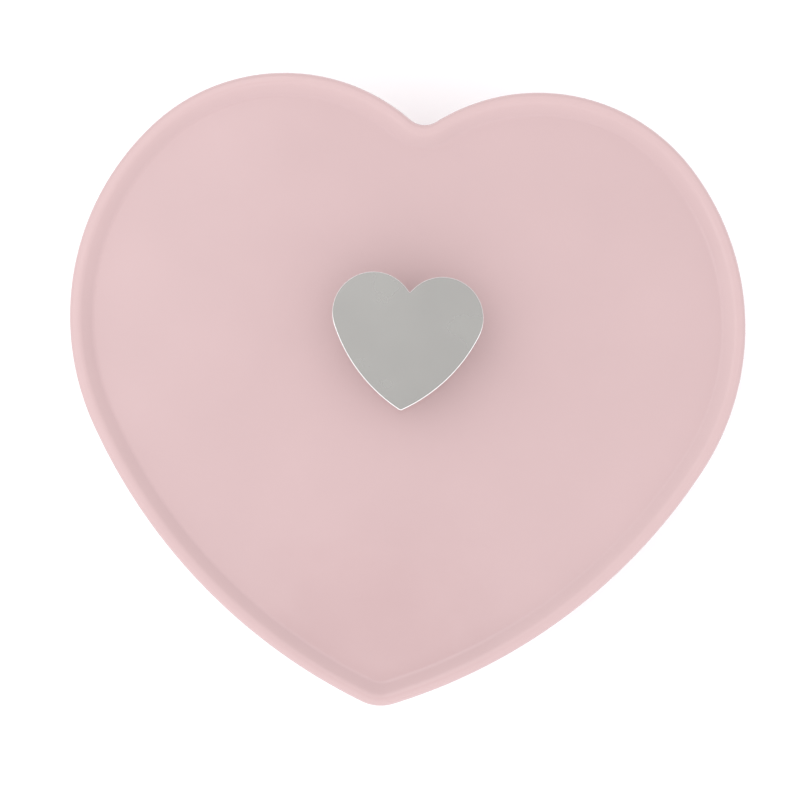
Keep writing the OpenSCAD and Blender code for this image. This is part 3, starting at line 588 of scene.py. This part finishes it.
class MUSICBOX_OT_lid(bpy.types.Operator):
    """Glazed heart lid with its raised rim, locating rib and screw hole"""

    bl_idname = "musicbox.lid"
    bl_label = "Glazed lid"

    def execute(self, context):
        s = sizes()
        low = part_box("lid_shell")[0].z
        panel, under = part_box("knob_stem")[0].z, low + s.rib_depth
        top = panel + s.rise
        foot, crest = s.rim - 0.6 * MM, 2.3 * MM
        rib = s.overhang + s.wall + s.rib_gap
        behind = rib + s.rib_width
        deep = s.tip - 0.2 * MM
        corners = [
            (deep, panel, 0),
            (foot, panel, 1.6 * MM),
            (crest, top, 2.2 * MM),
            (0, top, 1.9 * MM),
            (0, under, 0.9 * MM),
            (rib, under, 0.5 * MM),
            (rib, low, 0.7 * MM),
            (behind, low, 0.7 * MM),
            (behind, panel - s.panel, 0.3 * MM),
            (deep, panel - s.panel, 0),
        ]
        path = stations_round(heart_of(s), s.stations)
        rings = carried(path, rounded(corners, 7))
        hole, screw, shares = middle_of("knob_stem"), 2.2 * MM, np.linspace(0, 1, 26)[1:]
        inner = drawn_in(rings[0], hole, screw, shares)
        below = drawn_in(rings[-1], hole, screw, shares)
        rings = np.concatenate([inner[::-1], rings, below])
        # Only the crest is paled: partly thinner glaze, partly a painted highlight where the crest
        # catches the light.
        on_crest = rings[..., 2].ravel() > panel + 1.2 * MM
        thin = 0.8 * lip_paleness(rings, top) * on_crest
        glaze = glaze_finish("pink_glaze_lid", colours())
        lid = make_piece("glazed_lid", [shell(rings)], glaze, "lid", glaze_thin=thin)
        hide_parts("lid_shell")
        return {"FINISHED"}


class MUSICBOX_OT_knob(bpy.types.Operator):
    """Metal heart knob with its bright bevel, its post, washer and screw"""

    bl_idname = "musicbox.knob"
    bl_label = "Heart knob"

    def execute(self, context):
        s = sizes()
        low, high = (corner.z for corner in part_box("knob_heart"))
        middle = middle_of("knob_heart")
        rings = self.rings(s, low, high, middle)
        shares, core = np.linspace(0, 0.98, 16)[1:], 0.2 * MM
        inner = drawn_in(rings[0], middle, core, shares)
        below = drawn_in(rings[-1], middle, core, shares)
        part = capped(np.concatenate([inner[::-1], rings, below]))
        # Marks the top face, which gets the dark painted-reflection tint; the rest of the knob gets the
        # painted-highlight metal.
        satin = part[0][:, 2] > high - 0.01 * MM
        knob = make_piece("metal_heart_knob", [part], knob_finish(colours()), "lid", satin=satin)
        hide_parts("knob_heart")
        dress(metal_finish("post_metal", (0.88, 0.88, 0.87), (0.2, 0.3), (1, 1, 20)), "knob_stem")
        dress(metal_finish("screw_steel", colours().steel), "knob_screw")
        dress(plastic_finish("washer_rubber", (0.035, 0.035, 0.035), (0.6, 0.8)), "knob_washer")
        return {"FINISHED"}

    def rings(self, s, low, high, middle):
        """A bevelled section carried round the knob's outline. Its insets grow from the lobe bevel's
        width to the flank bevel's as the outline's outward direction leans towards the tip."""
        lobe_turn, flank_turn, tip, cleft = math.radians(40), math.radians(23), 0.7 * MM, 0.35 * MM
        lobe = s.knob_lobe
        arcs = heart_arcs(s.knob_width, s.knob_depth, lobe, lobe, lobe_turn, flank_turn, tip, cleft)
        arcs[:, :2] += middle
        edge, soft = s.knob_bevel, 0.05 * MM
        deep = edge + 0.15 * MM
        corners = [
            (deep, high, 0),
            (edge, high, soft),
            (0, high - edge, soft),
            (0, low + edge, soft),
            (edge, low, soft),
            (deep, low, 0),
        ]
        path = stations_round(arcs, 360)
        _, way, _, bulge = path
        flank = np.clip(-way[:, 1] * bulge / 0.35, 0, 1)
        return carried(path, rounded(corners, 4), 1 + flank * (s.flank_bevel / edge - 1))


class MUSICBOX_OT_box(bpy.types.Operator):
    """Glazed heart box with its floor, foot ring, key recess and foot bosses"""

    bl_idname = "musicbox.box"
    bl_label = "Glazed box"

    def execute(self, context):
        s = sizes()
        low, high = (corner.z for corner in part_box("box_body"))
        above_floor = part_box("tray_pad")[0].z
        recess = above_floor - s.floor
        out, wall = s.overhang, s.overhang + s.wall
        deep, lip = s.tip - 0.2 * MM, 0.9 * MM
        taper, taper_in = 3 * MM, 1.4 * MM
        corners = [
            (deep, above_floor, 0),
            (wall, above_floor, 2.2 * MM),
            (wall, high, lip),
            (out, high, lip),
            (out, low + taper, 4 * MM),
            (out + taper_in, low, lip),
            (wall, low, lip),
            (wall, recess, 1.6 * MM),
            (deep, recess, 0),
        ]
        path = stations_round(heart_of(s), s.stations)
        rings = carried(path, rounded(corners, 7))
        hole, bore, shares = middle_of("winding_arbor"), 3.7 * MM, np.linspace(0, 1, 22)[1:]
        above = drawn_in(rings[0], hole, bore, shares)
        below = drawn_in(rings[-1], hole, bore, shares)
        rings = np.concatenate([above[::-1], rings, below])
        boss = self.boss(s, low, recess)
        parts = [shell(rings, flip=True)]
        parts += [capped(boss + [*centre, 0]) for centre in foot_centres(s)]
        # Paler glaze at the wall's top and bottom lips: partly thinner glaze, partly a painted
        # highlight.
        thin = np.zeros(sum(len(points) for points, _, _ in parts))
        thin[: len(parts[0][0])] = 0.7 * lip_paleness(rings, high, low)
        glaze = glaze_finish("pink_glaze_box", colours())
        box = make_piece("glazed_box", parts, glaze, "box", glaze_thin=thin)
        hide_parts("box_body")
        return {"FINISHED"}

    def boss(self, s, low, recess):
        """A round boss turned about its own axis, with a socket for a foot."""
        socket, wide = s.foot + 0.05 * MM, s.foot + 1.5 * MM
        root = recess + 0.5 * MM
        section = [
            (socket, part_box("rubber_feet")[1].z, 0),
            (socket, low, 0.3 * MM),
            (wide, low, 0.8 * MM),
            (wide, root, 0),
            (1 * MM, root, 0),
        ]
        return lathe(rounded(section, 4), 40)


class MUSICBOX_OT_tray(bpy.types.Operator):
    """Soft velvet pad that lines the floor round the movement cover"""

    bl_idname = "musicbox.tray"
    bl_label = "Tray pad"

    def execute(self, context):
        s = sizes()
        hem = 8.75 * MM
        path = stations_round(heart_of(s), 640)
        outer = carried(path, np.array([[hem, 0]]))[0, :, :2]
        low, high = (corner.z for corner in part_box("tray_pad"))
        rings = self.rings(outer, self.opening(outer), low, high)
        velvet = pile_finish("tray_velvet", colours().velvet)
        pad = make_piece("velvet_tray_pad", [shell(rings)], velvet, "box")
        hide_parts("tray_pad")
        return {"FINISHED"}

    def opening(self, outer):
        """The hole round the cover, a point for each outer point in the same direction from its middle.
        The distance is the greater of where that direction leaves the cover's oblong and where it
        leaves the strip of its two screw tabs, averaged over five neighbours but never less."""
        low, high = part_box("movement_cover")
        middle = middle_of("movement_cover")
        gap, tab, tab_half = 0.7 * MM, 6 * MM, 4 * MM
        half_x, half_y = (high.x - low.x) / 2 + gap, (high.y - low.y) / 2 + gap
        spoke = outer - middle
        turn = np.arctan2(spoke[:, 1], spoke[:, 0])
        cos, sin = np.abs(np.cos(turn)) + 1e-9, np.abs(np.sin(turn)) + 1e-9
        oblong = np.minimum((half_x - tab) / cos, half_y / sin)
        tabs = np.minimum(half_x / cos, (tab_half + gap) / sin)
        least = np.maximum(oblong, tabs)
        reach = sum(np.roll(least, k) for k in (-2, -1, 0, 1, 2)) / 5
        reach = np.maximum(reach, least)
        return middle + np.stack([np.cos(turn), np.sin(turn)], axis=1) * reach[:, None]

    def rings(self, outer, inner, low, high):
        """Rings from the hem to the hole and back underneath. The top rises from each edge as a quarter
        circle of the roll's width, and is lowered a little by broad waves and by puckers that fade
        away from the edges; the underside is flat."""
        roll, fade = 2.6 * MM, 4 * MM
        share = 0.5 - 0.5 * np.cos(np.linspace(0, math.pi, 34))[:, None]
        xy = outer[None] * (1 - share)[..., None] + inner[None] * share[..., None]
        span = np.linalg.norm(outer - inner, axis=1)[None]
        edge = np.minimum(share, 1 - share) * span
        near = np.clip(edge / roll, 0, 1)
        spoke = outer - middle_of("movement_cover")
        turn = np.arctan2(spoke[:, 1], spoke[:, 0])
        wave = 0.072 * np.sin(xy[..., 0] * 230 + 1.3) * np.sin(xy[..., 1] * 190 + 0.4)
        pucker = 0.1 * np.sin(turn * 46)[None] * np.exp(-edge / fade) * near
        height = np.sqrt(1 - (1 - near) ** 2) * (0.88 + wave + pucker)
        top = low + (high - low) * np.clip(height, 0, 1)
        upper = np.concatenate([xy, top[..., None]], axis=2)
        under = np.concatenate([xy[1:-1][::-1], np.full((*xy[1:-1].shape[:2], 1), low)], axis=2)
        return np.concatenate([upper, under])


class MUSICBOX_OT_movement(bpy.types.Operator):
    """Finishes for the pinned drum, comb, wheels, governor, housing and clear cover"""

    bl_idname = "musicbox.movement"
    bl_label = "Movement"

    def execute(self, context):
        c = colours()
        wheel = metal_finish("wheel_brass", c.brass, (0.2, 0.32), (1, 1, 1), 0.0004)
        cast = metal_finish("cast_zinc", (0.42, 0.42, 0.41), (0.45, 0.6), (1, 1, 1), 0.0012, 0.00002)
        steel = metal_finish("turned_steel", c.steel, (0.18, 0.3), (20, 1, 1))
        comb = metal_finish("comb_steel", shade(c.steel, 0.85), (0.25, 0.38), (1, 0.04, 1))
        lead = metal_finish("lead", (0.2, 0.2, 0.21), (0.5, 0.7))
        blued = metal_finish("blued_steel", (0.12, 0.14, 0.2), (0.2, 0.3))
        plated = metal_finish("plated_screws", (0.7, 0.58, 0.34), (0.22, 0.34))
        ivory = plastic_finish("ivory_plastic", (0.78, 0.73, 0.62))
        dress(wheel, "crown_gear", "cylinder_pinion", "great_wheel", "spring_housing")
        dress(drum_finish(c), "cylinder_drum")
        dress(cast, "bedplate", "governor_frame")
        dress(steel, "winding_arbor", "cylinder_arbor", "governor_arbor", "governor_pinion")
        dress(steel, "fan_worm", "stop_plunger", "stop_spring", "movement_screws")
        dress(comb, "comb")
        dress(lead, "comb_weights")
        dress(blued, "mainspring")
        dress(plated, "comb_screws", "cover_screws", "governor_screws")
        dress(ivory, "worm_wheel", "air_brake")
        dress(clear_finish(), "movement_cover")
        return {"FINISHED"}


class MUSICBOX_OT_brake(bpy.types.Operator):
    """Soft felt disc that the stop plunger presses on the spinning air brake"""

    bl_idname = "musicbox.brake"
    bl_label = "Felt brake"

    def execute(self, context):
        low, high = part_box("brake_pad")
        r, thick = (high.x - low.x) / 2, high.z - low.z
        core, soft, dent = 0.1 * r, 0.35 * thick, 0.06 * thick
        section = [(core, dent, 0), (r, 0, soft), (r, thick, soft), (core, thick - dent, 0)]
        rings = lathe(rounded(section, 5), 64)
        turn = np.arctan2(rings[..., 1], rings[..., 0])
        ragged = 1 - 0.012 * (1 + np.sin(9 * turn) * np.sin(5 * turn + 1)) / 2
        rings[..., :2] *= ragged[..., None]
        rings += [*middle_of("brake_pad"), low.z]
        red_felt = pile_finish("brake_felt", (0.35, 0.03, 0.05), 0.0004)
        felt = make_piece("felt_brake", [capped(rings)], red_felt, "plunger")
        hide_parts("brake_pad")
        return {"FINISHED"}


class MUSICBOX_OT_feet(bpy.types.Operator):
    """Five domed rubber feet, each moulded with a shallow ring"""

    bl_idname = "musicbox.feet"
    bl_label = "Rubber feet"

    def execute(self, context):
        low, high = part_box("rubber_feet")
        r, thick = sizes().foot, high.z - low.z
        core, soft, groove = 0.02 * r, 0.05 * r, low.z + 0.12 * r
        section = [
            (core, thick, 0),
            (r, thick, 0.03 * r),
            (r, low.z, 0.28 * r),
            (0.72 * r, low.z, soft),
            (0.62 * r, groove, soft),
            (0.3 * r, groove, soft),
            (0.2 * r, low.z, 0.1 * r),
            (core, low.z, 0),
        ]
        turned = lathe(rounded(section, 5), 56)
        parts = [capped(turned + [*centre, 0], flip=True) for centre in foot_centres(sizes())]
        finish = plastic_finish("foot_rubber", (0.03, 0.028, 0.028), (0.6, 0.8), 0.00003)
        feet = make_piece("moulded_feet", parts, finish, "box")
        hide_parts("rubber_feet")
        return {"FINISHED"}


class MUSICBOX_OT_key(bpy.types.Operator):
    """Winding key under the box: a turned hub with two pierced, round-ended wings"""

    bl_idname = "musicbox.key"
    bl_label = "Winding key"

    def execute(self, context):
        s = sizes()
        low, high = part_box("winding_key")
        middle = middle_of("winding_arbor")
        hub, core, soft = (high.y - low.y) / 2, 0.1 * MM, 0.6 * MM
        section = [(core, high.z, 0), (hub, high.z, soft), (hub, low.z, soft), (core, low.z, 0)]
        parts = [capped(lathe(rounded(section, 6), 56) + [*middle, 0], flip=True)]
        lobe = s.key_height / 2
        out = (high.x - low.x) / 2 - lobe
        for side in (-1, 1):
            rings = self.wing(lobe, out, s.key_thickness / 2, soft)
            rings[..., 0] = side * (rings[..., 0] + out)
            parts.append(shell(rings + [*middle, low.z + lobe], flip=side < 0))
        finish = metal_finish("key_nickel", (0.62, 0.59, 0.54), (0.16, 0.28), (1, 1, 4))
        key = make_piece("nickel_key", parts, finish, "winder")
        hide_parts("winding_key")
        return {"FINISHED"}

    def wing(self, lobe, out, half, soft):
        """Closed rings round a pierced wing, about the middle of its hole. In each direction the outer
        edge is the round end's radius, or where the wing's straight side or the hub's middle lies; the
        section runs over one face, through the hole and back over the other, rounded at each edge."""
        turn = np.linspace(0, 2 * math.pi, 96, endpoint=False)
        cos, sin = np.cos(turn), np.sin(turn)
        side = np.minimum(lobe / np.maximum(np.abs(sin), 1e-6), out / np.maximum(-cos, 1e-6))
        edge = np.where(cos >= 0, lobe, side)
        bend = np.linspace(0, math.pi / 2, 6)
        d = soft * (1 - np.cos(bend))
        y = half - soft + soft * np.sin(bend)
        d, y = np.concatenate([d, d[::-1]]), np.concatenate([y, -y[::-1]])
        d, y = np.roll(d, -6), np.roll(y, -6)
        rim = 1.8 * MM
        hole = lobe - rim
        outer = edge[None] - d[:, None]
        inner = hole + d[::-1, None] + 0 * edge[None]
        reach = np.concatenate([outer, inner])
        depth = np.concatenate([y, y[::-1]])[:, None] + 0 * reach
        return np.stack([reach * cos, depth, reach * sin], axis=2)


class MUSICBOX_OT_stage(bpy.types.Operator):
    """Pale floor, a dark card, one soft lamp, air that lights all round, and a camera almost above"""

    bl_idname = "musicbox.stage"
    bl_label = "Studio"

    def execute(self, context):
        scene = context.scene
        self.floor(scene)
        self.card()
        self.light(scene, "key_light", place=(-0.4, 0.18, 0.6), size=0.8, power=0.9)
        scene.world = self.air(level=1.35, lean=-0.35)
        scene.view_settings.view_transform = "Standard"
        data = bpy.data.cameras.new("camera")
        data.lens = 120
        data.sensor_width = 36
        data.clip_start = 0.01
        data.clip_end = 20
        camera = bpy.data.objects.new("camera", data)
        scene.collection.objects.link(camera)
        aim, reach = (-0.0003, -0.0016, 0.0592), 0.59
        turn, tilt = math.radians(4.506), math.radians(2.2)
        away = (math.sin(tilt) * math.sin(turn), -math.sin(tilt) * math.cos(turn), math.cos(tilt))
        camera.location = [a + reach * d for a, d in zip(aim, away)]
        camera.rotation_euler = (tilt, 0, turn)
        scene.camera = camera
        return {"FINISHED"}

    def air(self, level, lean):
        """White air all round whose strength is level + lean * y, where y is the direction's northing:
        a negative lean is brighter towards the box's tip, as beside a window."""
        world = bpy.data.worlds.new("studio_air")
        world.use_nodes = True
        tree = world.node_tree
        glow = tree.nodes["Background"]
        glow.inputs["Color"].default_value = (0.97, 0.98, 1.0, 1)
        where = tree.nodes.new("ShaderNodeTexCoord")
        axes = tree.nodes.new("ShaderNodeSeparateXYZ")
        tree.links.new(where.outputs["Generated"], axes.inputs[0])
        strength = tree.nodes.new("ShaderNodeMath")
        strength.operation = "MULTIPLY_ADD"
        tree.links.new(axes.outputs["Y"], strength.inputs[0])
        strength.inputs[1].default_value = lean
        strength.inputs[2].default_value = level
        tree.links.new(strength.outputs[0], glow.inputs["Strength"])
        return world

    def card(self):
        """A dark oval card beside the camera, seen only as a soft reflection in the lid and knob."""
        rings = lathe(np.array([[0.01, 0], [0.5, 0], [1, 0], [1, 0.05], [0.5, 0.05], [0.01, 0.05]]), 64)
        size, place = (0.041, 0.033, 0.1), (-0.003, -0.0725, 0.662)
        rings = rings * size + place
        points, quads, fans = capped(rings)
        f = Finish("black_card")
        f.paint(f.mixed(f.noise(0.004), (0.012, 0.012, 0.012), (0.02, 0.02, 0.02)))
        make_piece("black_card", [(points, quads, fans)], f.material, None)

    def floor(self, scene):
        """A level square that fills every view: each row's distance from the middle is the hyperbolic
        sine of its number, scaled to reach the half width."""
        half, rows, drop = 6, 41, 0.02 * MM
        step = np.sinh(np.linspace(-3, 3, rows)) / math.sinh(3) * half
        x, y = np.meshgrid(step, step)
        points = np.stack([x.ravel(), y.ravel(), np.full(x.size, -drop)], axis=1)
        i = np.arange(rows - 1)[:, None] * rows + np.arange(rows - 1)[None]
        quads = np.stack([i, i + 1, i + rows + 1, i + rows], axis=2).reshape(-1, 4)
        mesh = bpy.data.meshes.new("studio_floor")
        mesh.from_pydata(points.tolist(), [], quads.tolist())
        f = Finish("studio_paper")
        tint = colours().floor
        f.paint(f.mixed(f.spread(f.noise(0.4, 2), 0.3, 0.7), shade(tint, 0.995), shade(tint, 1.0)))
        f.set(Roughness=0.9, Specular_IOR_Level=0.2)
        mesh.materials.append(f.material)
        floor = bpy.data.objects.new("studio_floor", mesh)
        scene.collection.objects.link(floor)

    def light(self, scene, name, place, size, power):
        """A round area lamp that faces the origin."""
        data = bpy.data.lights.new(name, "AREA")
        data.shape = "DISK"
        data.size = size
        data.energy = power
        lamp = bpy.data.objects.new(name, data)
        x, y, z = place
        lamp.location = place
        lamp.rotation_euler = (0, math.atan2(math.hypot(x, y), z), math.atan2(y, x))
        scene.collection.objects.link(lamp)


class MUSICBOX_PT_panel(bpy.types.Panel):
    """Lists the music box's pieces, sizes and colours"""

    bl_label = "Music Box"
    bl_idname = "MUSICBOX_PT_panel"
    bl_space_type = "VIEW_3D"
    bl_region_type = "UI"
    bl_category = "Music Box"

    def draw(self, context):
        """A button for each step, then every size and colour."""
        for step in STEPS:
            self.layout.operator(step.bl_idname)
        for group in (context.scene.music_box_sizes, context.scene.music_box_colours):
            column = self.layout.column()
            for key in group.__annotations__:
                column.prop(group, key)


STEPS = (
    MUSICBOX_OT_stage,
    MUSICBOX_OT_lid,
    MUSICBOX_OT_knob,
    MUSICBOX_OT_box,
    MUSICBOX_OT_tray,
    MUSICBOX_OT_movement,
    MUSICBOX_OT_brake,
    MUSICBOX_OT_feet,
    MUSICBOX_OT_key,
)
CLASSES = (MusicBoxSizes, MusicBoxColours, *STEPS, MUSICBOX_PT_panel)


def register():
    for cls in CLASSES:
        bpy.utils.register_class(cls)
    bpy.types.Scene.music_box_sizes = PointerProperty(type=MusicBoxSizes)
    bpy.types.Scene.music_box_colours = PointerProperty(type=MusicBoxColours)


def unregister():
    del bpy.types.Scene.music_box_sizes
    del bpy.types.Scene.music_box_colours
    for cls in reversed(CLASSES):
        bpy.utils.unregister_class(cls)


def main():
    """Makes every piece and the studio."""
    register()
    for step in STEPS:
        group, name = step.bl_idname.split(".")
        getattr(getattr(bpy.ops, group), name)()


if __name__ == "__main__":
    main()
